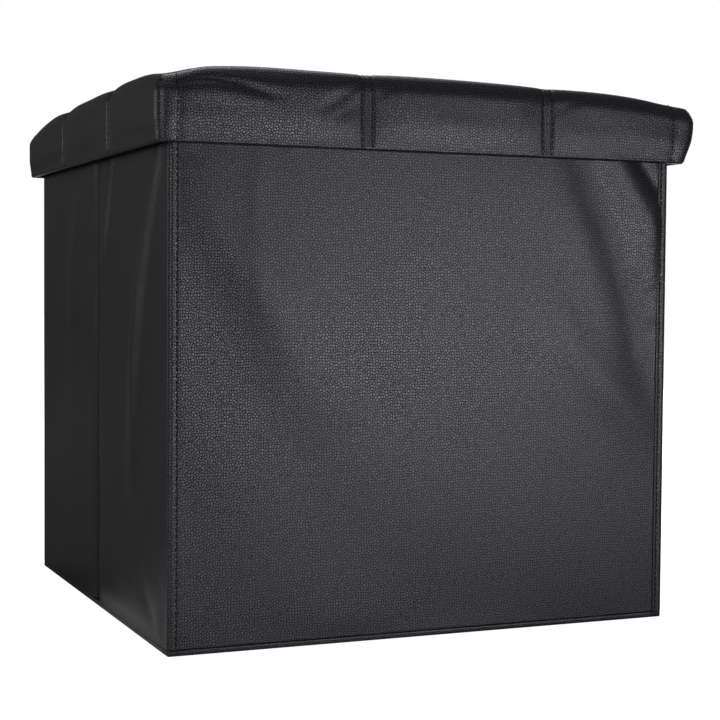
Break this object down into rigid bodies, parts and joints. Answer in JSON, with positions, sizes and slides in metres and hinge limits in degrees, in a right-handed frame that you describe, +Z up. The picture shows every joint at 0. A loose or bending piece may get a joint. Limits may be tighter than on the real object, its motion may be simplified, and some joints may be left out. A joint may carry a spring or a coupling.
{
  "type": "folding storage ottoman",
  "caption": "Cube storage ottoman with a quilted padded lift-off lid and covered walls whose sides fold inward.",
  "frame": {"origin": "centre of the base, on the floor", "axes": "+Z up through the lid; the front wall faces -Y and the folding side walls face -X and +X"},
  "size_m": [0.38, 0.38, 0.368],
  "materials": {
    "leathercloth": "satin",
    "lining": "matte",
    "board": "matte",
    "foam": "matte",
    "staple": "satin"
  },
  "bodies": {
    "back": {"back_board": "board", "back_skin": "leathercloth", "back_lining": "lining", "back_left_lap": "leathercloth", "back_right_lap": "leathercloth", "bottom_cloth": "leathercloth", "base_board": "board", "base_cover": "lining"},
    "front": {"front_board": "board", "front_skin": "leathercloth", "front_lining": "lining", "front_left_lap": "leathercloth", "front_right_lap": "leathercloth"},
    "left_rear": {"left_rear_board": "board", "left_rear_skin": "leathercloth", "left_rear_lining": "lining"},
    "left_front": {"left_front_board": "board", "left_front_skin": "leathercloth", "left_front_lining": "lining"},
    "right_rear": {"right_rear_board": "board", "right_rear_skin": "leathercloth", "right_rear_lining": "lining"},
    "right_front": {"right_front_board": "board", "right_front_skin": "leathercloth", "right_front_lining": "lining"},
    "lid": {"lid_board": "board", "lid_skirt_front": "board", "lid_skirt_back": "board", "lid_skirt_left": "board", "lid_skirt_right": "board", "lid_foam": "foam", "lid_lining": "lining", "lid_staples": "staple", "lid_patch_front_left": "leathercloth", "lid_patch_front_mid": "leathercloth", "lid_patch_front_right": "leathercloth", "lid_patch_mid_left": "leathercloth", "lid_patch_centre": "leathercloth", "lid_patch_mid_right": "leathercloth", "lid_patch_back_left": "leathercloth", "lid_patch_back_mid": "leathercloth", "lid_patch_back_right": "leathercloth"}
  },
  "joints": [
    {"name": "lid_lift", "type": "slide", "parent": "back", "child": "lid", "axis": [0, 0, 1], "range_m": [0, 0.3]},
    {"name": "left_rear_fold", "type": "hinge", "parent": "back", "child": "left_rear", "pos_m": [-0.1746, 0.1746, 0.17], "axis": [0, 0, -1], "range_deg": [-88, 0]},
    {"name": "left_front_fold", "type": "hinge", "parent": "left_rear", "child": "left_front", "pos_m": [-0.1814, 0, 0.17], "axis": [0, 0, 1], "range_deg": [-176, 0]},
    {"name": "front_fold", "type": "hinge", "parent": "left_front", "child": "front", "pos_m": [-0.1746, -0.1746, 0.17], "axis": [0, 0, -1], "range_deg": [-88, 0]},
    {"name": "right_rear_fold", "type": "hinge", "parent": "back", "child": "right_rear", "pos_m": [0.1746, 0.1746, 0.17], "axis": [0, 0, 1], "range_deg": [-88, 0]},
    {"name": "right_front_fold", "type": "hinge", "parent": "right_rear", "child": "right_front", "pos_m": [0.1814, 0, 0.17], "axis": [0, 0, -1], "range_deg": [-176, 0]}
  ],
  "couplings": [
    {"joint": "left_front_fold", "follows": "left_rear_fold", "ratio": 2},
    {"joint": "front_fold", "follows": "left_rear_fold", "ratio": 1},
    {"joint": "right_rear_fold", "follows": "left_rear_fold", "ratio": 1},
    {"joint": "right_front_fold", "follows": "left_rear_fold", "ratio": 2}
  ]
}
